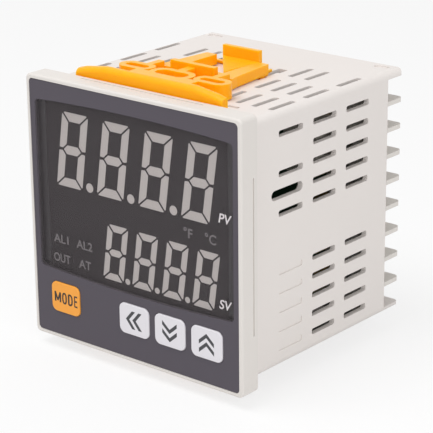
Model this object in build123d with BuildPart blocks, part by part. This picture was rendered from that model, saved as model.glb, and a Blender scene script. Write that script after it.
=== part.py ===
from build123d import *
import math
import os

# Panel-mounting temperature controller, 72 x 72 mm front, in millimetres.
# X points right and Z up, seen from the front; Y points back into the panel.
# The origin is the centre of the panel cut-out, on the panel's front surface.

# Front frame
front_size = 72.0
front_depth = 6.0
front_lip = 2.25
front_corner = 1.5
front_edge_round = 0.6
sheet_recess = 0.65
front_plate = 0.8
skirt_length = 9.6
skirt_wall = 1.2
groove_length = 41.0
groove_width = 0.5
groove_depth = 0.3
groove_depth_from_panel = 1.5

# Front sheet and display window
sheet_rim = 1.2
sheet_thickness = 0.5
sheet_corner = 1.1
sheet_gap = 0.1
window_side_margin = 1.65
window_top_margin = 5.3
window_bottom_margin = 18.6
window_top_rise = 1.0
window_bottom_drop = 1.1
window_corner = 1.2
lens_gap = 0.05

# Keys
key_width = 10.15
key_height = 8.35
key_corner = 1.8
key_edge_round = 0.25
key_proud = 0.35
key_gap = 0.12
key_row_margin = 10.8
mode_key_margin = 10.5
last_arrow_key_margin = 10.25
arrow_key_pitch = 12.2
key_flange_margin = 0.6
key_flange_thickness = 0.8
key_post_diameter = 3.6
key_play = 0.05

# Tactile switches
switch_size = 6.0
switch_height = 3.5
plunger_diameter = 3.2
plunger_proud = 0.8
plunger_length = 1.8
plunger_gap = 0.3
plunger_well = 1.8

# Display module
digits_in_row = 4
digit_lean = math.tan(math.radians(8.3))
digit_top_margin = 2.2
digit_bottom_margin = 0.8
digit_row_gap = 7.1
digit_stroke_share = 0.262
big_digit_share = 0.57
big_digit_space = 5.13
big_row_margin = 4.55
big_dot_diameter = 2.5
big_dot_space = 2.48
small_digit_space = 3.04
small_row_left_margin = 19.84
small_row_right_margin = 3.74
small_dot_diameter = 1.65
small_dot_space = 1.42
segment_gap = 0.35
segment_corner = 0.2
segment_depth = 0.6
module_face_gap = 0.05
module_gap = 0.1
module_overlap = 2.2

# Case
body_depth = 64.5
case_wall = 1.8
case_edge_round = 2.0
side_wall_depth = 57.5
vent_length = 9.7
vent_height = 1.65
vent_shift = -0.25
vent_margin = 5.425
vent_rows = 5
vent_first_column = 16.05
vent_column_pitch = 13.95
vent_columns = 3
wide_vent_length = 12.6
wide_vent_height = 2.6
blind_vent_depth = 0.25
guide_slot_place = 9.8
guide_slot_width = 1.5
guide_window_width = 2.9
guide_window_length = 3.6
guide_window_pitch = 8.6
guide_windows = 3
last_guide_window = 42.0
hook_place = 22.2
hook_depth = 7.7
hook_width = 3.2
hook_thickness = 1.1
hook_gap = 0.2
dimple_margin = 5.15
dimple_depth_place = 61.8
dimple_size = (4.6, 2.4)
dimple_depth = 0.4
board_rib = 0.9
board_rib_height = 2.4
board_rib_start = 12.0
board_rib_end = 43.5

# Circuit boards
board_thickness = 1.6
front_board_depth = 2.4
side_board_place = 17.25
side_board_front_gap = 1.15
board_gap = 0.1

# Terminal block
block_gap = 0.1
block_floor = 54.0
block_plate = 3.0
tower_width = 22.0
fin_thickness = 1.2
fin_tip_round = 1.5
least_cell_pitch = 7.2
strip_margin = 1.25
strip_gap = 0.48
strip_thickness = 0.8
strip_tail_width = 3.2
strip_tail_end = 44.5
washer_gap = 0.38
washer_thickness = 0.8
screw_diameter = 3.0
screw_head_height = 2.0
screw_length = 4.2
screw_slot_width = 0.8
screw_slot_length = 3.2
screw_slot_depth = 0.9
screw_gap = 0.15

# Mounting bracket
bracket_lift = 0.3
bracket_start = 0.8
bar_height = 5.15
bar_flat_width = 30.0
bar_shoulder_width = 44.0
bar_shoulder_height = 4.15
bar_width = 48.8
bar_end_height = 3.5
bar_edge_round = 1.5
bar_rear_edge_round = 0.5
bar_thickness = 2.4
bar_end_thickness = 2.3
spring_height = 4.05
spring_band = 1.7
pad_width = 20.6
pad_rear = 9.0
ring_depth = 10.5
ring_width = 13.4
ring_length = 7.4
loop_centre = 12.6
loop_depth = 11.45
loop_width = 10.8
loop_length = 5.7
stem_width = 2.6
side_stem_place = 11.0
side_stem_width = 1.9
plate_height = 2.75
plate_front = 18.9
plate_front_width = 25.2
plate_waist_depth = 22.0
plate_waist_width = 23.8
plate_rear = 36.6
plate_rear_width = 20.9
plate_window_width = 14.0
plate_window_front = 22.4
wall_front = 18.2
wall_width = 14.6
wall_thickness = 1.7
wall_height = 4.95
tab_width = 12.3
tab_thickness = 1.3
tab_height = 5.25
tab_rear = 39.3
ramp_length = 7.2
ramp_height = 2.35
ramp_tip_height = 0.25
link_width = 19.0
link_height = 0.7
link_arm_width = 1.5
foot_neck_width = 1.1
foot_head_width = 2.4
foot_length = 3.0
foot_head_height = 0.9
foot_gap = 0.3
rear_foot_place = 34.9

# Parts on the side boards
core_size = (22.0, 20.0)
core_thickness = 10.0
core_window = (4.5, 12.0)
core_leg = 7.0
core_place = (36.0, -16.0)
coil_length = 16.0
capacitor_diameter = 10.0
capacitor_length = 16.0
capacitor_places = [(17.0, -9.0), (17.0, -21.0)]
relay_size = (15.6, 19.0)
relay_thickness = 10.4
relay_places = [(38.0, -14.0), (38.0, 10.0)]
output_relay_size = (12.0, 13.0)
output_relay_gap = 2.6
output_relay_place = (38.0, 17.5)
chip_size = 12.0
chip_thickness = 1.6
chip_place = (20.0, 5.0)
header_size = 2.5
header_length = 30.0

# Sizes that follow from the ones above: front, body and skirt
half_front = front_size / 2
half_body = half_front - front_lip
body_size = 2 * half_body
half_inside = half_body - case_wall
front_face = -front_depth
plate_face = front_face + sheet_recess
plate_back = plate_face + front_plate
skirt_outer = half_inside - block_gap
skirt_inner = skirt_outer - skirt_wall

# Sheet and window
half_sheet = half_front - sheet_rim
sheet_size = 2 * half_sheet
sheet_face = plate_face - sheet_thickness
window_half_width = half_sheet - window_side_margin
window_top = half_sheet - window_top_margin
window_bottom = window_bottom_margin - half_sheet

# Keys and switches
key_row_height = key_row_margin - half_sheet
last_arrow_key_place = half_sheet - last_arrow_key_margin
key_places = ([mode_key_margin - half_sheet]
              + [last_arrow_key_place - arrow_key_pitch * step for step in (2, 1, 0)])
key_centres = [(place, key_row_height) for place in key_places]
key_face = sheet_face - key_proud
flange_face = plate_back + key_play
flange_back = flange_face + key_flange_thickness
switch_face = front_board_depth - switch_height
plunger_face = switch_face - plunger_proud

# Display module and its digits
module_face = plate_back + module_face_gap
half_module = skirt_inner - module_gap
module_top = half_module
module_bottom = window_bottom - module_overlap
digit_heights = window_top - window_bottom - digit_top_margin - digit_bottom_margin - digit_row_gap
big_digit_height = big_digit_share * digit_heights
small_digit_height = digit_heights - big_digit_height
big_row_left = big_row_margin - half_module
small_row_left = small_row_left_margin - half_module
gaps_in_row = digits_in_row - 1
big_digit_width = (-2 * big_row_left - gaps_in_row * big_digit_space) / digits_in_row
small_digit_width = (half_module - small_row_right_margin - small_row_left
                     - gaps_in_row * small_digit_space) / digits_in_row

# Boards
side_board_front = front_board_depth + board_thickness
side_board_front_height = 2 * (skirt_inner - side_board_front_gap)
side_board_out = side_board_place + board_thickness
output_relay_thickness = half_inside - side_board_out - output_relay_gap

# Terminals
block_face = block_floor - block_plate
block_half = half_inside - block_gap
strip_face = block_floor + strip_thickness
washer_face = strip_face + washer_thickness
screw_hole = screw_diameter + 2 * screw_gap
cells = int((2 * half_inside + fin_thickness) / least_cell_pitch)
fin_pitch = (2 * half_inside + fin_thickness) / cells
cell_height = fin_pitch - fin_thickness
strip_width = cell_height - 2 * strip_gap
washer_size = cell_height - 2 * washer_gap
screw_head_diameter = strip_width
strip_end = block_half - strip_margin
terminal_place = (side_board_out + strip_thickness + screw_gap + block_half) / 2
fin_heights = [fin_pitch * (step - cells / 2) for step in range(1, cells)]
cell_heights = [fin_pitch * (step - (cells - 1) / 2) for step in range(cells)]
cell_centres = [(side * terminal_place, height) for side in (1, -1) for height in cell_heights]

# Vents, guide slots and brackets
vent_row_pitch = (half_body - vent_margin) / (vent_rows + 0.5)
vent_places = [vent_first_column + vent_column_pitch * step for step in range(vent_columns)]
row_heights = [vent_row_pitch * (step + 1.5) for step in range(vent_rows)]
top_rows = [vent_row_pitch * step for step in (3, 4, 5, 6)]
dimple_place = half_body - dimple_margin
guide_window_places = [last_guide_window - guide_window_pitch * step for step in range(guide_windows)]
foot_places = [rear_foot_place - guide_window_pitch * step for step in range(2)]
bracket_base = half_body + bracket_lift
bar_rear = bracket_start + bar_thickness
bar_end_rear = bracket_start + bar_end_thickness


def at_depth(depth):
    """Plane across the object at this depth, with X right and Z up in the sketch."""
    return Plane.XZ.offset(-depth)


def save(piece, name):
    piece.part.label = name
    export_step(piece.part, f"parts/{name}.step")


def shape(points):
    """Flat shape with these corner points, whichever way round they run."""
    area = sum(a[0] * b[1] - b[0] * a[1] for a, b in zip(points, points[1:] + points[:1]))
    Polygon(*(points if area > 0 else points[::-1]), align=None)


def window_shape(gap):
    """Display window: straight sides, gently arched top and bottom, round corners."""
    side = window_half_width - gap
    top = window_top - gap
    bottom = window_bottom + gap
    with BuildSketch() as sketch:
        with BuildLine():
            Line((-side, bottom), (-side, top))
            ThreePointArc((-side, top), (0, top + window_top_rise), (side, top))
            Line((side, top), (side, bottom))
            ThreePointArc((side, bottom), (0, bottom - window_bottom_drop), (-side, bottom))
        make_face()
        fillet(sketch.vertices(), window_corner)
    return sketch.sketch


def segment_shapes(width, height, stroke):
    """The seven bars of one upright digit, each as its corner points round (0, 0)."""
    a = width / 2
    b = height / 2
    s = segment_gap
    e = segment_corner
    cap = [(-a + s + 2 * e, b), (-a + s + e, b - e), (-a + stroke + s, b - stroke),
           (a - stroke - s, b - stroke), (a - s - e, b - e), (a - s - 2 * e, b)]
    bridge = [(-a + stroke / 2 + s, 0), (-a + stroke + s, -stroke / 2), (a - stroke - s, -stroke / 2),
              (a - stroke / 2 - s, 0), (a - stroke - s, stroke / 2), (-a + stroke + s, stroke / 2)]
    upright = [(a, b - s - 2 * e), (a - e, b - s - e), (a - stroke, b - stroke - s),
               (a - stroke, stroke / 2 + s), (a - stroke / 2, s), (a, s + e / 2)]
    shapes = [cap, bridge, [(u, -v) for u, v in cap]]
    for side in (1, -1):
        for end in (1, -1):
            shapes.append([(side * u, end * v) for u, v in upright])
    return shapes


def digit_row(left, middle, width, height, space, dot_diameter, dot_space):
    """A row of leaning seven-bar digits with a dot after each one but the last."""
    stroke = digit_stroke_share * width
    for index in range(digits_in_row):
        x = left + width / 2 + index * (width + space)
        for points in segment_shapes(width, height, stroke):
            shape([(x + u + v * digit_lean, middle + v) for u, v in points])
        if index < gaps_in_row:
            drop = (dot_diameter - height) / 2
            with Locations((x + width / 2 + dot_space + drop * digit_lean, middle + drop)):
                Circle(dot_diameter / 2)


def big_digits():
    digit_row(big_row_left, window_top - digit_top_margin - big_digit_height / 2, big_digit_width,
              big_digit_height, big_digit_space, big_dot_diameter, big_dot_space)


def small_digits():
    digit_row(small_row_left, window_bottom + digit_bottom_margin + small_digit_height / 2, small_digit_width,
              small_digit_height, small_digit_space, small_dot_diameter, small_dot_space)


def add_key(place):
    """One keytop, its retaining flange behind the front plate and its pressing post."""
    with BuildSketch(at_depth(key_face)) as top:
        with Locations((place, key_row_height)):
            RectangleRounded(key_width, key_height, key_corner)
    extrude(top.sketch, amount=-(flange_face - key_face))
    with BuildSketch(at_depth(flange_face)) as flange:
        with Locations((place, key_row_height)):
            RectangleRounded(key_width + 2 * key_flange_margin, key_height + 2 * key_flange_margin,
                             key_corner)
    extrude(flange.sketch, amount=-key_flange_thickness)
    with BuildSketch(at_depth(flange_back)) as post:
        with Locations((place, key_row_height)):
            Circle(key_post_diameter / 2)
    extrude(post.sketch, amount=-(plunger_face - flange_back))


def add_plunger(place):
    with BuildSketch(at_depth(plunger_face)) as disc:
        with Locations((place, key_row_height)):
            Circle(plunger_diameter / 2)
    extrude(disc.sketch, amount=-plunger_length)


def add_side_board(side):
    """Side board: low at the front inside the skirt, full height between the ribs."""
    with BuildSketch(Plane.YZ.offset(side * side_board_place)) as board:
        with Locations(((side_board_front + block_face) / 2, 0)):
            Rectangle(block_face - side_board_front, side_board_front_height)
        with Locations(((board_rib_start + block_face) / 2, 0)):
            Rectangle(block_face - board_rib_start, 2 * (half_inside - board_gap))
    extrude(board.sketch, amount=side * board_thickness)


def round_rear_corners():
    """Round, in plan, the rear corners of whatever reaches the full width and depth."""
    tip = fin_tip_round
    for end in (1, -1):
        with BuildSketch(Plane.XY.offset(-body_size)) as corner:
            with Locations((end * (half_body - tip / 2 + 0.5), body_depth - tip / 2 + 0.5)):
                Rectangle(tip + 1, tip + 1)
            with Locations((end * (half_body - tip), body_depth - tip)):
                Circle(tip, mode=Mode.SUBTRACT)
        extrude(corner.sketch, amount=2 * body_size, mode=Mode.SUBTRACT)


def add_bracket(side):
    """Mounting bracket on the top (side 1) or the bottom (side -1) of the case."""
    base = Plane.XY.offset(side * bracket_base)
    # Pressing bar, highest and thickest along its middle
    with BuildSketch(base) as bar:
        ends = [(bar_width / 2, bracket_start), (bar_width / 2, bar_end_rear), (bar_flat_width / 2, bar_rear)]
        shape(ends + [(-u, v) for u, v in ends[::-1]])
    extrude(bar.sketch, amount=side * bar_height)
    for end in (1, -1):
        with BuildSketch(at_depth(bracket_start - 1)) as slope:
            above = bar_height + 1
            profile = [(bar_flat_width / 2, bar_height), (bar_shoulder_width / 2, bar_shoulder_height),
                       (bar_width / 2, bar_end_height), (bar_width / 2 + 1, bar_end_height),
                       (bar_width / 2 + 1, above), (bar_flat_width / 2, above)]
            shape([(end * u, side * (bracket_base + v)) for u, v in profile])
        extrude(slope.sketch, amount=-(bar_thickness + 2), mode=Mode.SUBTRACT)
    # Spring: a pad behind the bar, a centre ring, two side loops, and stems to the plate
    stem_from = ring_depth + ring_length / 2 - spring_band / 2
    stem_to = wall_front + wall_thickness / 2
    stem_middle = (stem_from + stem_to) / 2
    loops = [(loop_centre, loop_depth), (-loop_centre, loop_depth)]
    with BuildSketch(base) as spring:
        with Locations((0, (bar_end_rear + pad_rear) / 2)):
            Rectangle(pad_width, pad_rear - bar_end_rear)
        with Locations((0, ring_depth)):
            SlotOverall(ring_width, ring_length)
        with Locations(*loops):
            SlotOverall(loop_width, loop_length)
        with Locations((0, stem_middle)):
            Rectangle(stem_width, stem_to - stem_from)
        with Locations((side_stem_place, stem_middle), (-side_stem_place, stem_middle)):
            Rectangle(side_stem_width, stem_to - stem_from)
        with Locations((0, ring_depth)):
            SlotOverall(ring_width - 2 * spring_band, ring_length - 2 * spring_band, mode=Mode.SUBTRACT)
        with Locations(*loops):
            SlotOverall(loop_width - 2 * spring_band, loop_length - 2 * spring_band, mode=Mode.SUBTRACT)
    extrude(spring.sketch, amount=side * spring_height)
    # Rear plate with its window, and the cross wall the stems run into
    with BuildSketch(base) as plate:
        edge = [(plate_front_width / 2, plate_front), (plate_waist_width / 2, plate_waist_depth),
                (plate_rear_width / 2, plate_rear)]
        shape(edge + [(-u, v) for u, v in edge[::-1]])
        with Locations((0, (plate_window_front + plate_rear + 1) / 2)):
            Rectangle(plate_window_width, plate_rear + 1 - plate_window_front, mode=Mode.SUBTRACT)
    extrude(plate.sketch, amount=side * plate_height)
    with BuildSketch(base) as wall:
        with Locations((0, wall_front + wall_thickness / 2)):
            Rectangle(wall_width, wall_thickness)
    extrude(wall.sketch, amount=side * wall_height)
    # Push tab: thin links from the plate's arms, the upright tab, and the ramp in front of it
    arm_place = (link_width - link_arm_width) / 2
    arm_from = plate_rear - link_arm_width
    with BuildSketch(base) as link:
        with Locations((0, tab_rear - tab_thickness / 2)):
            Rectangle(link_width, tab_thickness)
        with Locations((arm_place, (arm_from + tab_rear) / 2), (-arm_place, (arm_from + tab_rear) / 2)):
            Rectangle(link_arm_width, tab_rear - arm_from)
    extrude(link.sketch, amount=side * link_height)
    tab_front = tab_rear - tab_thickness
    with BuildSketch(base) as tab:
        with Locations((0, tab_rear - tab_thickness / 2)):
            Rectangle(tab_width, tab_thickness)
    extrude(tab.sketch, amount=side * tab_height)
    with BuildPart(mode=Mode.PRIVATE) as ramp:
        with BuildSketch(base) as tongue:
            shape([(-tab_width / 2, tab_front + 0.5), (tab_width / 2, tab_front + 0.5),
                   (tab_width / 2, tab_front), (0, tab_front - ramp_length), (-tab_width / 2, tab_front)])
        extrude(tongue.sketch, amount=side * ramp_height)
        with BuildSketch(Plane.YZ.offset(-tab_width)) as slope:
            shape([(u, side * (bracket_base + v)) for u, v in (
                (tab_front - ramp_length - 1, ramp_tip_height), (tab_front - ramp_length, ramp_tip_height),
                (tab_front, ramp_height), (tab_front, ramp_height + 1),
                (tab_front - ramp_length - 1, ramp_height + 1))])
        extrude(slope.sketch, amount=2 * tab_width, mode=Mode.SUBTRACT)
    add(ramp.part)
    # Four feet that pass the case wall through its guide slots
    feet = [(end * guide_slot_place, place) for end in (1, -1) for place in foot_places]
    with BuildSketch(base) as necks:
        with Locations(*feet):
            Rectangle(foot_neck_width, foot_length)
    extrude(necks.sketch, amount=-side * (bracket_lift + case_wall + foot_gap))
    with BuildSketch(Plane.XY.offset(side * (half_inside - foot_gap))) as heads:
        with Locations(*feet):
            Rectangle(foot_head_width, foot_length)
    extrude(heads.sketch, amount=-side * foot_head_height)


def round_bar(bracket):
    """Round the pressing bar's edges along its top: broadly in front, a little behind."""
    high = [edge for edge in bracket.edges()
            if abs(edge.center().Z) > bracket_base + bar_end_height - 0.01
            and abs(edge.center().X) < bar_width / 2 - 0.01]
    fillet([edge for edge in high if abs(edge.center().Y - bracket_start) < 0.01], bar_edge_round)
    high = [edge for edge in bracket.edges()
            if abs(edge.center().Z) > bracket_base + bar_end_height - 0.01
            and abs(edge.center().X) < bar_width / 2 - 0.01]
    fillet([edge for edge in high if bar_end_rear - 0.01 < edge.center().Y < bar_rear + 0.01
            and abs(edge.center().Z) > bracket_base + (spring_height if abs(edge.center().X) < pad_width / 2
                                                       else 0) + 0.01], bar_rear_edge_round)


os.makedirs("parts", exist_ok=True)

# Front frame: a moulded square with a shallow seat for the sheet, a display opening,
# four key holes, pry grooves, and a skirt whose hooks snap into the case.
with BuildPart() as front_bezel:
    with BuildSketch(at_depth(front_face)):
        RectangleRounded(front_size, front_size, front_corner)
    extrude(amount=-front_depth)
    fillet(front_bezel.faces().sort_by(Axis.Y)[0].edges(), front_edge_round)
    with BuildSketch(at_depth(0)):
        Rectangle(2 * skirt_outer, 2 * skirt_outer)
    extrude(amount=-skirt_length)
    with BuildSketch(at_depth(front_face)):
        RectangleRounded(sheet_size + 2 * sheet_gap, sheet_size + 2 * sheet_gap, sheet_corner + sheet_gap)
    extrude(amount=-sheet_recess, mode=Mode.SUBTRACT)
    with BuildSketch(at_depth(plate_back)):
        Rectangle(2 * skirt_inner, 2 * skirt_inner)
    extrude(amount=-(skirt_length - plate_back), mode=Mode.SUBTRACT)
    with BuildSketch(at_depth(plate_face)):
        add(window_shape(-sheet_gap))
        with Locations(*key_centres):
            RectangleRounded(key_width + 2 * key_gap, key_height + 2 * key_gap, key_corner + key_gap)
    extrude(amount=-front_plate, mode=Mode.SUBTRACT)
    for side in (1, -1):
        with BuildSketch(Plane.XY.offset(side * half_front)):
            with Locations((0, -groove_depth_from_panel)):
                Rectangle(groove_length, groove_width)
        extrude(amount=-side * groove_depth, mode=Mode.SUBTRACT)
        with BuildSketch(Plane.YZ.offset(side * half_front)):
            with Locations((-groove_depth_from_panel, 0)):
                Rectangle(groove_width, groove_length)
        extrude(amount=-side * groove_depth, mode=Mode.SUBTRACT)
        with BuildSketch(Plane.XY.offset(side * skirt_outer)):
            with Locations((hook_place, hook_depth), (-hook_place, hook_depth)):
                Rectangle(hook_width, hook_thickness)
        extrude(amount=side * (case_wall - hook_gap))
save(front_bezel, "front_bezel")

# Front sheet: dark sheet bonded into the frame's seat, cut out for window and keys.
with BuildPart() as front_sheet:
    with BuildSketch(at_depth(sheet_face)):
        RectangleRounded(sheet_size, sheet_size, sheet_corner)
        add(window_shape(0), mode=Mode.SUBTRACT)
        with Locations(*key_centres):
            RectangleRounded(key_width + 2 * key_gap, key_height + 2 * key_gap, key_corner + key_gap,
                             mode=Mode.SUBTRACT)
    extrude(amount=-sheet_thickness)
save(front_sheet, "front_sheet")

# Display window: smoked lens, flush with the sheet, seated on the frame's side ledges.
with BuildPart() as display_window:
    with BuildSketch(at_depth(sheet_face)):
        add(window_shape(lens_gap))
    extrude(amount=-(sheet_thickness + front_plate))
save(display_window, "display_window")

# Display module: dark block between lens and front board, with a pocket per segment.
with BuildPart() as display_module:
    with BuildSketch(at_depth(module_face)):
        with Locations((0, (module_top + module_bottom) / 2)):
            Rectangle(2 * half_module, module_top - module_bottom)
    extrude(amount=-(front_board_depth - module_face))
    with BuildSketch(at_depth(module_face)):
        big_digits()
        small_digits()
    extrude(amount=-segment_depth, mode=Mode.SUBTRACT)
save(display_module, "display_module")

# Light segments of the large upper row, set into the module's pockets.
with BuildPart() as big_segments:
    with BuildSketch(at_depth(module_face)):
        big_digits()
    extrude(amount=-segment_depth)
save(big_segments, "big_segments")

# Light segments of the small lower row.
with BuildPart() as small_segments:
    with BuildSketch(at_depth(module_face)):
        small_digits()
    extrude(amount=-segment_depth)
save(small_segments, "small_segments")

# Four keytops, each held behind the front plate by its flange.
with BuildPart() as mode_key:
    add_key(key_places[0])
    fillet(mode_key.faces().sort_by(Axis.Y)[0].edges(), key_edge_round)
save(mode_key, "mode_key")

with BuildPart() as left_key:
    add_key(key_places[1])
    fillet(left_key.faces().sort_by(Axis.Y)[0].edges(), key_edge_round)
save(left_key, "left_key")

with BuildPart() as down_key:
    add_key(key_places[2])
    fillet(down_key.faces().sort_by(Axis.Y)[0].edges(), key_edge_round)
save(down_key, "down_key")

with BuildPart() as up_key:
    add_key(key_places[3])
    fillet(up_key.faces().sort_by(Axis.Y)[0].edges(), key_edge_round)
save(up_key, "up_key")

# Switch plungers: each one rides with the key in front of it.
with BuildPart() as mode_plunger:
    add_plunger(key_places[0])
save(mode_plunger, "mode_plunger")

with BuildPart() as left_plunger:
    add_plunger(key_places[1])
save(left_plunger, "left_plunger")

with BuildPart() as down_plunger:
    add_plunger(key_places[2])
save(down_plunger, "down_plunger")

with BuildPart() as up_plunger:
    add_plunger(key_places[3])
save(up_plunger, "up_plunger")

# Switch housings on the front board, each with a well for its plunger.
with BuildPart() as key_switches:
    with BuildSketch(at_depth(switch_face)):
        with Locations(*key_centres):
            Rectangle(switch_size, switch_size)
    extrude(amount=-switch_height)
    with BuildSketch(at_depth(switch_face)):
        with Locations(*key_centres):
            Circle(plunger_diameter / 2 + plunger_gap)
    extrude(amount=-plunger_well, mode=Mode.SUBTRACT)
save(key_switches, "key_switches")

# Front board: carries the display module and the switches, inside the skirt.
with BuildPart() as front_board:
    with BuildSketch(at_depth(front_board_depth)):
        Rectangle(2 * half_module, 2 * half_module)
    extrude(amount=-board_thickness)
save(front_board, "front_board")

# Side boards: from the front board to the terminal block, held between case ribs.
with BuildPart() as right_board:
    add_side_board(1)
save(right_board, "right_board")

with BuildPart() as left_board:
    add_side_board(-1)
save(left_board, "left_board")

# Plug headers in the corners where the side boards meet the front board.
with BuildPart() as board_headers:
    with BuildSketch(at_depth(side_board_front)):
        with Locations((side_board_place - header_size / 2, 0), (-side_board_place + header_size / 2, 0)):
            Rectangle(header_size, header_length)
    extrude(amount=-header_size)
save(board_headers, "board_headers")

# Supply transformer: laminated core with three legs, and the coil round the middle one.
core_face = side_board_place - (coil_length - core_thickness) / 2
with BuildPart() as transformer_core:
    with BuildSketch(Plane.YZ.offset(core_face)):
        with Locations(core_place):
            Rectangle(*core_size)
            with Locations(((core_leg + core_window[0]) / 2, 0), (-(core_leg + core_window[0]) / 2, 0)):
                Rectangle(*core_window, mode=Mode.SUBTRACT)
    extrude(amount=-core_thickness)
save(transformer_core, "transformer_core")

with BuildPart() as transformer_coil:
    with BuildSketch(Plane.YZ.offset(side_board_place)):
        with Locations(core_place):
            Rectangle(core_leg + 2 * core_window[0], core_window[1])
    extrude(amount=-coil_length)
    with BuildSketch(Plane.YZ.offset(core_face)):
        with Locations(core_place):
            Rectangle(core_leg, core_window[1])
    extrude(amount=-core_thickness, mode=Mode.SUBTRACT)
save(transformer_coil, "transformer_coil")

# Two smoothing capacitors beside the transformer.
with BuildPart() as capacitors:
    with BuildSketch(Plane.YZ.offset(side_board_place)):
        with Locations(*capacitor_places):
            Circle(capacitor_diameter / 2)
    extrude(amount=-capacitor_length)
save(capacitors, "capacitors")

# Alarm relays and the control chip on the left board, output relay on the right one.
with BuildPart() as alarm_relays:
    with BuildSketch(Plane.YZ.offset(-side_board_place)):
        with Locations(*relay_places):
            Rectangle(*relay_size)
    extrude(amount=relay_thickness)
save(alarm_relays, "alarm_relays")

with BuildPart() as control_chip:
    with BuildSketch(Plane.YZ.offset(-side_board_place)):
        with Locations(chip_place):
            Rectangle(chip_size, chip_size)
    extrude(amount=chip_thickness)
save(control_chip, "control_chip")

with BuildPart() as output_relay:
    with BuildSketch(Plane.YZ.offset(side_board_out)):
        with Locations(output_relay_place):
            Rectangle(*output_relay_size)
    extrude(amount=output_relay_thickness)
save(output_relay, "output_relay")

# Case: square sleeve with vents on four sides, keyhole guide slots for the brackets
# in the top and bottom, and ribs inside for the side boards.
with BuildPart() as case:
    with BuildSketch(at_depth(0)):
        RectangleRounded(body_size, body_size, case_edge_round)
        Rectangle(2 * half_inside, 2 * half_inside, mode=Mode.SUBTRACT)
    extrude(amount=-body_depth)
    with BuildSketch(at_depth(side_wall_depth)):
        Rectangle(body_size + 1, 2 * half_inside)
    extrude(amount=-(body_depth - side_wall_depth), mode=Mode.SUBTRACT)
    round_rear_corners()
    first, second, third = vent_places
    both = [side * height + vent_shift for side in (1, -1) for height in row_heights]
    open_first = [height + vent_shift for height in row_heights[::2]]
    # Right wall: its first column has a wide slot and blind lower rows
    with BuildSketch(Plane.YZ.offset(half_body)):
        with Locations(*[(place, height) for place in (second, third) for height in both],
                       *[(first, height) for height in open_first]):
            RectangleRounded(vent_length, vent_height, vent_height / 3)
        with Locations((first + (vent_length - wide_vent_length) / 2, row_heights[1] + vent_shift)):
            SlotOverall(wide_vent_length, wide_vent_height)
    extrude(amount=-case_wall, mode=Mode.SUBTRACT)
    with BuildSketch(Plane.YZ.offset(half_body)):
        with Locations(*[(first, vent_shift - height) for height in row_heights]):
            RectangleRounded(vent_length, vent_height, vent_height / 3)
    extrude(amount=-blind_vent_depth, mode=Mode.SUBTRACT)
    with BuildSketch(Plane.YZ.offset(-half_body)):
        with Locations(*[(place, height) for place in vent_places for height in both]):
            RectangleRounded(vent_length, vent_height, vent_height / 3)
    extrude(amount=case_wall, mode=Mode.SUBTRACT)
    # Top and bottom walls
    for side in (1, -1):
        across = [end * row for end in (1, -1) for row in top_rows]
        with BuildSketch(Plane.XY.offset(side * half_body)):
            with Locations(*[(row, place) for place in (first, second) for row in across],
                           *[(row, third) for row in across if abs(row) != top_rows[2]]):
                RectangleRounded(vent_height, vent_length, vent_height / 3)
            with Locations((hook_place, hook_depth), (-hook_place, hook_depth)):
                Rectangle(hook_width + 2 * hook_gap, hook_thickness + 2 * hook_gap)
            for end in (1, -1):
                with Locations(*[(end * guide_slot_place, place) for place in guide_window_places]):
                    Rectangle(guide_window_width, guide_window_length)
                slot_run = guide_window_places[0] - guide_window_places[-1]
                with Locations((end * guide_slot_place, guide_window_places[-1] + slot_run / 2)):
                    Rectangle(guide_slot_width, slot_run)
        extrude(amount=-side * case_wall, mode=Mode.SUBTRACT)
        with BuildSketch(Plane.XY.offset(side * half_body)):
            with Locations((dimple_place, dimple_depth_place), (-dimple_place, dimple_depth_place)):
                SlotOverall(*dimple_size)
        extrude(amount=-side * dimple_depth, mode=Mode.SUBTRACT)
        with BuildSketch(Plane.XY.offset(side * half_inside)):
            middle = (board_rib_start + board_rib_end) / 2
            beside = board_gap + board_rib / 2
            for end in (1, -1):
                for place in (side_board_place - beside, side_board_out + beside):
                    with Locations((end * place, middle)):
                        Rectangle(board_rib, board_rib_end - board_rib_start)
        extrude(amount=-side * board_rib_height)
save(case, "case")

# Terminal block: floor plate, central tower and eight fins that part nine cells a side.
with BuildPart() as terminal_block:
    fins = [(0, height) for height in fin_heights]
    with BuildSketch(at_depth(block_face)):
        Rectangle(2 * block_half, 2 * block_half)
    extrude(amount=-block_plate)
    with BuildSketch(at_depth(block_floor)):
        Rectangle(tower_width, 2 * block_half)
        with Locations(*fins):
            Rectangle(2 * block_half, fin_thickness)
    extrude(amount=-(body_depth - block_floor))
    with BuildSketch(at_depth(side_wall_depth + block_gap)):
        with Locations(*fins):
            Rectangle(body_size, fin_thickness)
    extrude(amount=-(body_depth - side_wall_depth - block_gap))
    round_rear_corners()
    with BuildSketch(at_depth(block_face)):
        with Locations(*cell_centres):
            Circle(screw_hole / 2)
        for end in (1, -1):
            tail_middle = end * (side_board_out + strip_thickness / 2)
            with Locations(*[(tail_middle, height) for height in cell_heights]):
                Rectangle(strip_thickness + 2 * screw_gap, strip_tail_width + 2 * screw_gap)
    extrude(amount=-block_plate, mode=Mode.SUBTRACT)
save(terminal_block, "terminal_block")

# Terminal strips: one per cell, with a tail through the floor to the side board.
with BuildPart() as terminal_strips:
    with BuildSketch(at_depth(block_floor)):
        for end in (1, -1):
            with Locations(*[(end * (side_board_out + strip_end) / 2, height) for height in cell_heights]):
                Rectangle(strip_end - side_board_out, strip_width)
        with Locations(*cell_centres):
            Circle(screw_hole / 2, mode=Mode.SUBTRACT)
    extrude(amount=-strip_thickness)
    with BuildSketch(at_depth(strip_tail_end)):
        for end in (1, -1):
            tail_middle = end * (side_board_out + strip_thickness / 2)
            with Locations(*[(tail_middle, height) for height in cell_heights]):
                Rectangle(strip_thickness, strip_tail_width)
    extrude(amount=-(strip_face - strip_tail_end))
save(terminal_strips, "terminal_strips")

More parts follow.
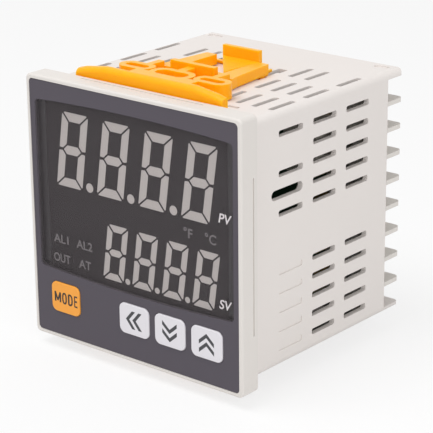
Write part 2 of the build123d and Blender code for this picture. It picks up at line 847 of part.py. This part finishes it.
# Square clamp washers under the screw heads.
with BuildPart() as terminal_washers:
    with BuildSketch(at_depth(strip_face)):
        with Locations(*cell_centres):
            Rectangle(washer_size, washer_size)
        with Locations(*cell_centres):
            Circle(screw_hole / 2, mode=Mode.SUBTRACT)
    extrude(amount=-washer_thickness)
save(terminal_washers, "terminal_washers")

# Slotted terminal screws.
with BuildPart() as terminal_screws:
    with BuildSketch(at_depth(washer_face)):
        with Locations(*cell_centres):
            Circle(screw_head_diameter / 2)
    extrude(amount=-screw_head_height)
    with BuildSketch(at_depth(washer_face - screw_length)):
        with Locations(*cell_centres):
            Circle(screw_diameter / 2)
    extrude(amount=-screw_length)
    with BuildSketch(at_depth(washer_face + screw_head_height - screw_slot_depth)):
        with Locations(*cell_centres):
            Rectangle(screw_slot_length, screw_slot_width)
    extrude(amount=-screw_slot_depth, mode=Mode.SUBTRACT)
save(terminal_screws, "terminal_screws")

# Sprung mounting brackets: the upper one on the case's top, the lower one mirrored.
with BuildPart() as upper_bracket:
    add_bracket(1)
    round_bar(upper_bracket)
save(upper_bracket, "upper_bracket")

with BuildPart() as lower_bracket:
    add_bracket(-1)
    round_bar(lower_bracket)
save(lower_bracket, "lower_bracket")
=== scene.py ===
import math

import bpy
from mathutils import Matrix, Vector


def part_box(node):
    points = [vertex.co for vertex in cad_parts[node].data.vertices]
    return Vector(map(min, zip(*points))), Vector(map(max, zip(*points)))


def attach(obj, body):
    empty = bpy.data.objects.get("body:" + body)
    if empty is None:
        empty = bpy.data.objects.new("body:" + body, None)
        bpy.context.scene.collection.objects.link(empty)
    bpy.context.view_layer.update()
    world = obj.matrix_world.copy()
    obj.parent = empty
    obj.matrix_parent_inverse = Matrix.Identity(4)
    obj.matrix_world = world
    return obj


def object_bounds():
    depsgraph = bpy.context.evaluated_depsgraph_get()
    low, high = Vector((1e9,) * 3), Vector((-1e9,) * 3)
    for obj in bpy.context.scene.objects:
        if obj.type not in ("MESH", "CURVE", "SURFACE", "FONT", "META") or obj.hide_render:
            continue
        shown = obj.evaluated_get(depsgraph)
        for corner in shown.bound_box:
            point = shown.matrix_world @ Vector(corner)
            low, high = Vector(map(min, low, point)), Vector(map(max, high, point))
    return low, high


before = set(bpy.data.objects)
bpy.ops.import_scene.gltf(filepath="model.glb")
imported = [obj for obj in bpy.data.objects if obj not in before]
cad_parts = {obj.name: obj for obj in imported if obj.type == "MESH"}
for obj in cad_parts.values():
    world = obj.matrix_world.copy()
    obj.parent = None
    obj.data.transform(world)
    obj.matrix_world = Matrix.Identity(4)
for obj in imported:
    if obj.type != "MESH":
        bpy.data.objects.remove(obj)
cad_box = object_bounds()


# Case: one square sleeve of pale warm-grey ABS, injection moulded with a fine spark-eroded
# grain outside, open at both ends, with vents and the brackets' guide slots cut through.
MM = 0.001
PATCH_DETAIL = 3.0
GRAIN_DETAIL = 2.0
GRAIN_DEPTH = 0.03 * MM
ROUGHNESS_WAVER = 0.12
COAT_ROUGHNESS = 0.35


class Wire:
    """A shader socket: arithmetic on it adds Math nodes, and node() adds any other node."""

    def __init__(self, tree, socket=None):
        self.tree = tree
        self.socket = socket

    def node(self, kind, settings=None, outlet=0, **inlets):
        """Add a node. Inlets go by name, with _ for a blank, or by number, as i0."""
        made = self.tree.nodes.new(kind)
        for name, value in (settings or {}).items():
            setattr(made, name, value)
        for name, value in inlets.items():
            number = name[1:]
            socket = made.inputs[int(number) if number.isdigit() else name.replace("_", " ")]
            if isinstance(value, Wire):
                self.tree.links.new(value.socket, socket)
            else:
                socket.default_value = value
        return Wire(self.tree, made.outputs[outlet] if made.outputs else None)

    def part(self, name):
        """Another outlet of the same node."""
        return Wire(self.tree, self.socket.node.outputs[name])

    def math(self, operation, first, second):
        return self.node("ShaderNodeMath", {"operation": operation}, i0=first, i1=second)

    def __add__(self, other):
        return self.math("ADD", self, other)

    def __radd__(self, other):
        return self.math("ADD", other, self)

    def __mul__(self, other):
        return self.math("MULTIPLY", self, other)

    def __rmul__(self, other):
        return self.math("MULTIPLY", other, self)

    def __lt__(self, other):
        return self.math("LESS_THAN", self, other)

    def __gt__(self, other):
        return self.math("GREATER_THAN", self, other)

    def __abs__(self):
        return self.node("ShaderNodeMath", {"operation": "ABSOLUTE"}, i0=self)


def tone(red, green, blue):
    """Linear colour of a screen colour written as 0 to 255."""
    def linear(value):
        share = value / 255
        return share / 12.92 if share <= 0.04045 else ((share + 0.055) / 1.055) ** 2.4
    return (linear(red), linear(green), linear(blue), 1.0)


def finish(name, colour, roughness, mottle=0.04, mottle_size=6 * MM, grain=0.0,
           grain_size=0.25 * MM, metallic=0.0, specular=0.5, coat=0.0):
    """Plastic or metal whose tone wavers a little, with an optional fine moulded grain."""
    material = bpy.data.materials.new(name)
    material.use_nodes = True
    tree = material.node_tree
    shader = tree.nodes["Principled BSDF"]
    start = Wire(tree)
    place = start.node("ShaderNodeTexCoord", outlet="Object")
    patches = start.node("ShaderNodeTexNoise", outlet="Fac", Vector=place,
                         Scale=1 / mottle_size, Detail=PATCH_DETAIL)
    shade = 2 * mottle * patches + (1 - mottle)
    mixed = start.node("ShaderNodeVectorMath", {"operation": "SCALE"}, i0=colour[:3], Scale=shade)
    tree.links.new(mixed.socket, shader.inputs["Base Color"])
    worn = (roughness - ROUGHNESS_WAVER / 2) + ROUGHNESS_WAVER * patches
    tree.links.new(worn.socket, shader.inputs["Roughness"])
    shader.inputs["Metallic"].default_value = metallic
    shader.inputs["Specular IOR Level"].default_value = specular
    shader.inputs["Coat Weight"].default_value = coat
    shader.inputs["Coat Roughness"].default_value = COAT_ROUGHNESS
    if grain:
        height = start.node("ShaderNodeTexNoise", outlet="Fac", Vector=place,
                            Scale=1 / grain_size, Detail=GRAIN_DETAIL)
        bump = start.node("ShaderNodeBump", Strength=grain, Distance=GRAIN_DEPTH, Height=height)
        tree.links.new(bump.socket, shader.inputs["Normal"])
    return material


def dress(node, material):
    """Give a CAD piece its finish."""
    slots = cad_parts[node].data.materials
    slots.clear()
    slots.append(material)


def darken_within(material, reach, low, high, colour):
    """Paint what lies within this reach of the middle, and between these depths and heights."""
    tree = material.node_tree
    socket = tree.nodes["Principled BSDF"].inputs["Base Color"]
    plain = Wire(tree, socket.links[0].from_socket)
    place = plain.node("ShaderNodeSeparateXYZ",
                       Vector=plain.node("ShaderNodeTexCoord", outlet="Object"))
    inside = abs(place.part("X")) < reach
    for axis, least, most in zip("YZ", low, high):
        along = place.part(axis)
        inside = inside * (along > least) * (along < most)
    painted = plain.node("ShaderNodeMix", {"data_type": "RGBA"}, outlet=2,
                         i0=inside, i6=plain, i7=colour)
    tree.links.new(painted.socket, socket)


# The case's inside, from just within its outer faces back to the terminal block, is painted dark:
# painted shade for the hollow sleeve, seen through its vents and slots.
PAINTED_INSIDE_SHADE = tone(70, 66, 62)
INSIDE_FROM = 1.5 * MM
case_low, case_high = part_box("case")
inner = case_high[0] - INSIDE_FROM
block_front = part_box("terminal_block")[0][1]
case_grey = finish("case_plastic", tone(229, 223, 219), roughness=0.62, mottle=0.012, grain=0.35)
darken_within(case_grey, inner, (case_low[1] - MM, -inner), (block_front, inner), PAINTED_INSIDE_SHADE)
dress("case", case_grey)


# Front frame: moulded in the same plastic as the case, a square rim with a shallow seat
# for the front sheet, four key holes, and a skirt that snaps into the case. Its ledges
# and the walls of its opening behind the display window are painted near-black.
BLACKED_OUT = tone(50, 47, 49)
AROUND_WINDOW = 0.3 * MM
frame_grey = finish("frame_plastic", tone(223, 218, 213), roughness=0.5, mottle=0.012, grain=0.2)
dress("front_bezel", frame_grey)
window_low, window_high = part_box("display_window")
darken_within(frame_grey, window_high[0] + AROUND_WINDOW,
              (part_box("front_bezel")[0][1] - MM, window_low[2] - AROUND_WINDOW),
              (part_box("front_board")[0][1], window_high[2] + AROUND_WINDOW), BLACKED_OUT)


# Terminal block: pale moulded floor, tower and fins that slide into the case's rear.
# Each fin keeps two wires apart.
block_grey = finish("block_plastic", tone(222, 217, 211), roughness=0.6, mottle=0.015, grain=0.3)
dress("terminal_block", block_grey)


# Front sheet: dark purplish-grey polycarbonate, printed on its back, with a fine
# matte texture, bonded into the frame.
sheet_grey = finish("sheet_plastic", tone(86, 81, 89), roughness=0.5, mottle=0.02, grain=0.15,
                    grain_size=0.18 * MM, specular=0.2)
dress("front_sheet", sheet_grey)


# Display window: a smoked clear lens bonded flush with the sheet. Here it is only a faint
# haze, because the colours of the digits behind it are those seen through the real lens.
LENS_HAZE = 0.08
LENS_ROUGHNESS = 0.4
lens = bpy.data.materials.new("smoked_lens")
lens.use_nodes = True
lens_shader = lens.node_tree.nodes["Principled BSDF"]
lens_shader.inputs["Base Color"].default_value = tone(150, 142, 146)
lens_shader.inputs["Roughness"].default_value = LENS_ROUGHNESS
lens_shader.inputs["Alpha"].default_value = LENS_HAZE
dress("display_window", lens)


# Display module: black potted block with pale diffusing segments set into its face,
# unlit as in the photograph.
display_black = finish("display_black", tone(40, 37, 38), roughness=0.7, mottle=0.02, specular=0.1)
dress("display_module", display_black)
segment_pale = finish("segment_pale", tone(195, 188, 185), roughness=0.55, mottle=0.01,
                      specular=0.3)
dress("big_segments", segment_pale)
dress("small_segments", segment_pale)


# Keytops: moulded caps in orange and white, a little proud of the sheet, each with
# a fine matte face and its mark printed on. The orange one carries its word in strokes
# of one pen, narrow and upright, a little to the right of the middle.
INK = 0.02 * MM
PEN = 0.6 * MM
MODE_HEIGHT = 3.4 * MM
MODE_WIDTHS = (2.4 * MM, 1.85 * MM, 1.85 * MM, 1.6 * MM)
MODE_GAP = 0.32 * MM
MODE_ASIDE = 0.3 * MM
ROUND_STEPS = 24
SQUARENESS = 0.8
dress("mode_key", finish("key_orange", tone(247, 165, 58), roughness=0.5, mottle=0.02, grain=0.2))
key_white = finish("key_white", tone(227, 224, 229), roughness=0.5, mottle=0.012, grain=0.2)
for key in ("left_key", "down_key", "up_key"):
    dress(key, key_white)


def middle(node):
    """Centre of a CAD piece's box, across and up."""
    low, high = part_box(node)
    return (low[0] + high[0]) / 2, (low[2] + high[2]) / 2


def put(name, data):
    """New object that shows this mesh, curve, lamp or camera."""
    piece = bpy.data.objects.new(name, data)
    bpy.context.scene.collection.objects.link(piece)
    return piece


def bowl(steps, first, last, left, right):
    """Points of a squarish oval between two angles, from this left edge to this right edge."""
    points = []
    for step in range(steps + 1):
        angle = first + (last - first) * step / steps
        across = math.copysign(abs(math.cos(angle)) ** SQUARENESS, math.cos(angle))
        along = math.copysign(abs(math.sin(angle)) ** SQUARENESS, math.sin(angle))
        points.append(((left + right) / 2 + (right - left) / 2 * across, 0.5 + 0.5 * along))
    return points


# Strokes of the four letters, each in a box one wide and one high.
MODE_STROKES = [
    [[(0, 0), (0, 1)], [(0, 1), (0.5, 0.15)], [(0.5, 0.15), (1, 1)], [(1, 1), (1, 0)]],
    [bowl(ROUND_STEPS, 0, 2 * math.pi, 0, 1)],
    [[(0, 0), (0, 1)],
     [(0, 1)] + bowl(ROUND_STEPS // 2, math.pi / 2, -math.pi / 2, -0.3, 1) + [(0, 0)]],
    [[(1, 1), (0, 1), (0, 0), (1, 0)], [(0, 0.52), (0.88, 0.52)]],
]
mode_brown = finish("mode_ink", tone(54, 38, 28), roughness=0.5, mottle=0.02)
key_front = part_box("mode_key")[0][1]
across, up = middle("mode_key")
curve = bpy.data.curves.new("mode_lettering", "CURVE")
curve.dimensions = "3D"
curve.bevel_depth = PEN / 2
curve.bevel_resolution = 1
curve.use_fill_caps = True
curve.materials.append(mode_brown)
left = -(sum(MODE_WIDTHS) + MODE_GAP * (len(MODE_WIDTHS) - 1)) / 2
for width, strokes in zip(MODE_WIDTHS, MODE_STROKES):
    for stroke in strokes:
        spline = curve.splines.new("POLY")
        spline.points.add(len(stroke) - 1)
        for point, (u, v) in zip(spline.points, stroke):
            point.co = (left + PEN / 2 + u * (width - PEN), 0, (v - 0.5) * (MODE_HEIGHT - PEN), 1)
    left += width + MODE_GAP
mode_lettering = put("mode_lettering", curve)
mode_lettering.location = (across + MODE_ASIDE, key_front, up)
mode_lettering.scale = (1, INK / PEN, 1)
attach(mode_lettering, "mode_button")


# Key marks: a double chevron on each white key, printed in dark grey, pointing the way
# that the key steps.
CHEVRON_SPAN = 4.9 * MM
CHEVRON_REACH = 2.1 * MM
CHEVRON_LINE = 0.85 * MM
CHEVRON_STEP = 2.25 * MM
mark_grey = finish("mark_ink", tone(62, 62, 66), roughness=0.5, mottle=0.02)


def chevrons(name, node, body, turn):
    """Two chevrons in line, pointing up before the turn about the view direction."""
    half = CHEVRON_SPAN / 2
    rise = CHEVRON_LINE * math.hypot(half, CHEVRON_REACH) / half
    across, up = middle(node)
    turned = Matrix.Rotation(turn, 4, "Y")
    corners = []
    faces = []
    for shift in (CHEVRON_STEP / 2, -CHEVRON_STEP / 2):
        foot = shift - (CHEVRON_REACH + rise) / 2
        tip = foot + CHEVRON_REACH
        outline = [(-half, foot), (0, tip), (half, foot),
                   (half, foot + rise), (0, tip + rise), (-half, foot + rise)]
        sides = len(outline)
        first = len(corners)
        for depth in (-INK, 0):
            centre = Vector((across, key_front + depth, up))
            corners += [turned @ Vector((u, 0, v)) + centre for u, v in outline]
        ring = [first + step for step in range(sides)]
        back = [step + sides for step in ring]
        faces += [(ring[0], ring[1], ring[4], ring[5]), (ring[1], ring[2], ring[3], ring[4]),
                  (back[5], back[4], back[1], back[0]), (back[4], back[3], back[2], back[1])]
        for step in range(sides):
            after = (step + 1) % sides
            faces.append((ring[step], back[step], back[after], ring[after]))
    mesh = bpy.data.meshes.new(name)
    mesh.from_pydata(corners, [], faces)
    mesh.materials.append(mark_grey)
    piece = put(name, mesh)
    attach(piece, body)


chevrons("left_mark", "left_key", "left_button", math.radians(-90))
chevrons("down_mark", "down_key", "down_button", math.radians(180))
chevrons("up_mark", "up_key", "up_button", 0)


# Legends on the display: small words printed on the lens, slanted and pale beside the two
# rows of digits, upright and dim where a lamp behind them is off.
CAPITAL_SHARE = 0.73
STROKE_SWELL = 0.02
sheet_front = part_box("front_sheet")[0][1]
legend_pale = finish("legend_pale", tone(214, 208, 210), roughness=0.5, mottle=0.01)
legend_dim = finish("legend_dim", tone(108, 103, 105), roughness=0.5, mottle=0.01)


def lettering(name, words, across, up, height, width, slant, colour, body):
    """Printed words: a thin raised text standing on the sheet's front, its height in metres."""
    curve = bpy.data.curves.new(name, "FONT")
    curve.body = words
    curve.align_x = "CENTER"
    curve.align_y = "CENTER"
    curve.size = height / CAPITAL_SHARE
    curve.extrude = INK / 2
    curve.shear = slant
    curve.offset = STROKE_SWELL * height
    curve.materials.append(colour)
    piece = put(name, curve)
    piece.location = (across, sheet_front - INK / 2, up)
    piece.rotation_euler = (math.radians(90), 0, 0)
    piece.scale = (width, 1, 1)
    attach(piece, body)


# Name, words, place across and up and capital height in mm, width against height, slant, ink.
LEGENDS = [
    ("legend_pv", "PV", 30.3, 10.0, 2.5, 1.0, 0.2, legend_pale),
    ("legend_sv", "SV", 30.3, -12.4, 2.5, 1.0, 0.2, legend_pale),
    ("legend_fahrenheit", "°F", 18.7, 3.8, 2.6, 1.05, 0.0, legend_dim),
    ("legend_celsius", "°C", 26.0, 3.8, 2.6, 1.0, 0.0, legend_dim),
    ("legend_alarm_1", "AL1", -25.0, -7.55, 2.4, 1.08, 0.0, legend_dim),
    ("legend_alarm_2", "AL2", -16.9, -7.55, 2.4, 1.04, 0.0, legend_dim),
    ("legend_output", "OUT", -25.3, -12.9, 2.4, 0.86, 0.0, legend_dim),
    ("legend_tuning", "AT", -16.9, -12.9, 2.4, 1.04, 0.0, legend_dim),
]
for name, words, across, up, height, width, slant, colour in LEGENDS:
    lettering(name, words, across * MM, up * MM, height * MM, width, slant, colour, "controller")


# Switches: black moulded housings soldered to the front board, with plungers that the
# keytops press.
black = finish("switch_black", tone(48, 48, 50), roughness=0.55)
dress("key_switches", black)
for key in ("mode", "left", "down", "up"):
    dress(key + "_plunger", black)


# Circuit boards: green varnished laminate with darker copper-free gaps between tracks,
# joined at the front by plug headers.
board = finish("board_green", tone(22, 58, 40), roughness=0.4, mottle=0.25, mottle_size=2.2 * MM,
               specular=0.3)
for node in ("front_board", "right_board", "left_board"):
    dress(node, board)
dress("board_headers", black)


# Supply transformer: a stack of varnished steel laminations round a coil wound under
# yellow tape, and the smoothing capacitors beside it in blue sleeves.
dress("transformer_core", finish("core_steel", tone(120, 118, 116), roughness=0.45, metallic=0.8))
dress("transformer_coil", finish("coil_tape", tone(206, 170, 84), roughness=0.4))
dress("capacitors", finish("capacitor_sleeve", tone(40, 52, 88), roughness=0.35))


# Relays and chip: sealed plastic boxes on the side boards; the output relay is pale and
# shows through the vents.
dress("alarm_relays", finish("relay_blue", tone(44, 74, 128), roughness=0.45))
dress("output_relay", finish("relay_pale", tone(214, 208, 198), roughness=0.5))
dress("control_chip", finish("chip_black", tone(38, 38, 40), roughness=0.6))


# Terminals: a stamped brass strip on the floor of each cell, under a nickel-plated square
# washer and a slotted screw that clamps the wire's end.
dress("terminal_strips", finish("strip_brass", tone(206, 178, 118), roughness=0.35, metallic=1.0))
nickel = finish("nickel_plate", tone(204, 203, 200), roughness=0.3, metallic=1.0)
dress("terminal_washers", nickel)
dress("terminal_screws", nickel)


# Mounting brackets: one-piece orange acetal mouldings, slightly waxy, whose loops spring
# against the panel while four feet slide in the case's guide slots. Light spreads a little
# way into the plastic, and a faint painted glow stands for the light that thin walls let through.
WAX_SHARE = 0.5
WAX_SPREAD = (1.0, 0.8, 0.1)
WAX_DEPTH = 2.5 * MM
WAX_COAT_IOR = 1.2
PAINTED_GLOW = 0.08
bracket_orange = finish("bracket_orange", tone(254, 177, 8), roughness=0.42, mottle=0.03,
                        mottle_size=9 * MM, specular=0.1, coat=1.0)
waxy = bracket_orange.node_tree.nodes["Principled BSDF"]
waxy.inputs["Coat IOR"].default_value = WAX_COAT_IOR
# Painted glow: a faint orange emission that lifts the brackets' shaded faces, standing for light
# through thin walls.
waxy.inputs["Emission Color"].default_value = tone(255, 40, 0)
waxy.inputs["Emission Strength"].default_value = PAINTED_GLOW
waxy.inputs["Subsurface Weight"].default_value = WAX_SHARE
waxy.inputs["Subsurface Radius"].default_value = WAX_SPREAD
waxy.inputs["Subsurface Scale"].default_value = WAX_DEPTH
for node in ("upper_bracket", "lower_bracket"):
    dress(node, bracket_orange)


# Stage: white surroundings, a pale paper floor that keeps the object's soft shadow, and two
# softboxes. What the camera, gloss and glass see of the surroundings and the floor is white,
# whatever lights them.
SKY_LEVEL = 0.55
FLOOR_REACH = 3.0
PAPER = (0.9, 0.9, 0.9, 1)
WHITE = (1, 1, 1, 1)
SHADOW_SHARE = 0.25
LAMP_WIDTH = 0.5
LAMP_AIM = Vector((0, 0.02, 0))


def seen(start):
    """1 for rays from the camera and through gloss and glass, 0 for rays that only light."""
    rays = start.node("ShaderNodeLightPath")
    shown = start.math("MAXIMUM", rays.part("Is Camera Ray"), rays.part("Is Glossy Ray"))
    return start.math("MAXIMUM", shown, rays.part("Is Transmission Ray"))


world = bpy.data.worlds.new("studio")
bpy.context.scene.world = world
world.use_nodes = True
world.node_tree.nodes.clear()
start = Wire(world.node_tree)
sky = start.node("ShaderNodeBackground", Color=WHITE,
                 Strength=SKY_LEVEL + (1 - SKY_LEVEL) * seen(start))
start.node("ShaderNodeOutputWorld", Surface=sky)

floor_height = cad_box[0][2]
mesh = bpy.data.meshes.new("floor")
mesh.from_pydata([(across * FLOOR_REACH, along * FLOOR_REACH, floor_height)
                  for across, along in ((-1, -1), (1, -1), (1, 1), (-1, 1))], [], [(0, 1, 2, 3)])
floor = put("floor", mesh)
paper = bpy.data.materials.new("floor_paper")
paper.use_nodes = True
paper.node_tree.nodes.clear()
start = Wire(paper.node_tree)
lit = start.node("ShaderNodeBsdfDiffuse", Color=PAPER)
white = start.node("ShaderNodeEmission", Color=WHITE, Strength=1.0)
surface = start.node("ShaderNodeMixShader", i0=(1 - SHADOW_SHARE) * seen(start), i1=lit, i2=white)
start.node("ShaderNodeOutputMaterial", Surface=surface)
mesh.materials.append(paper)

# Name, place and watts.
LAMPS = [
    ("top_softbox", (-0.15, -0.25, 0.75), 3.4),
    ("side_softbox", (0.75, -0.35, 0.35), 2.1),
]
for name, place, watts in LAMPS:
    light = bpy.data.lights.new(name, "AREA")
    light.size = LAMP_WIDTH
    light.energy = watts
    lamp = put(name, light)
    lamp.location = place
    lamp.rotation_euler = (LAMP_AIM - Vector(place)).to_track_quat("-Z", "Y").to_euler()


# Camera: a long lens at the photograph's angle, placed by its fit to the front's corners
# and the vents, and turned about its own axis by 0.6 of a degree.
CAMERA_AZIMUTH = math.radians(40.093)
CAMERA_ELEVATION = math.radians(19.139)
CAMERA_ROLL = math.radians(-0.599)
CAMERA_DISTANCE = 475.0 * MM
CAMERA_ASIDE = 17.62 * MM
CAMERA_ABOVE = 2.52 * MM
PICTURE_WIDTH = 433
FOCAL_PIXELS = 1861.2
SENSOR_WIDTH = 36.0
back = Vector((math.sin(CAMERA_AZIMUTH) * math.cos(CAMERA_ELEVATION),
               -math.cos(CAMERA_AZIMUTH) * math.cos(CAMERA_ELEVATION),
               math.sin(CAMERA_ELEVATION)))
level_right = Vector((math.cos(CAMERA_AZIMUTH), math.sin(CAMERA_AZIMUTH), 0))
level_up = back.cross(level_right)
right = math.cos(CAMERA_ROLL) * level_right + math.sin(CAMERA_ROLL) * level_up
above = -math.sin(CAMERA_ROLL) * level_right + math.cos(CAMERA_ROLL) * level_up
optics = bpy.data.cameras.new("camera")
optics.sensor_width = SENSOR_WIDTH
optics.lens = FOCAL_PIXELS / PICTURE_WIDTH * SENSOR_WIDTH
camera = put("camera", optics)
stand = back * CAMERA_DISTANCE + right * CAMERA_ASIDE + above * CAMERA_ABOVE
turn = Matrix((right, above, back)).transposed().to_4x4()
camera.matrix_world = Matrix.Translation(stand) @ turn
bpy.context.scene.camera = camera
bpy.context.scene.view_settings.view_transform = "Standard"
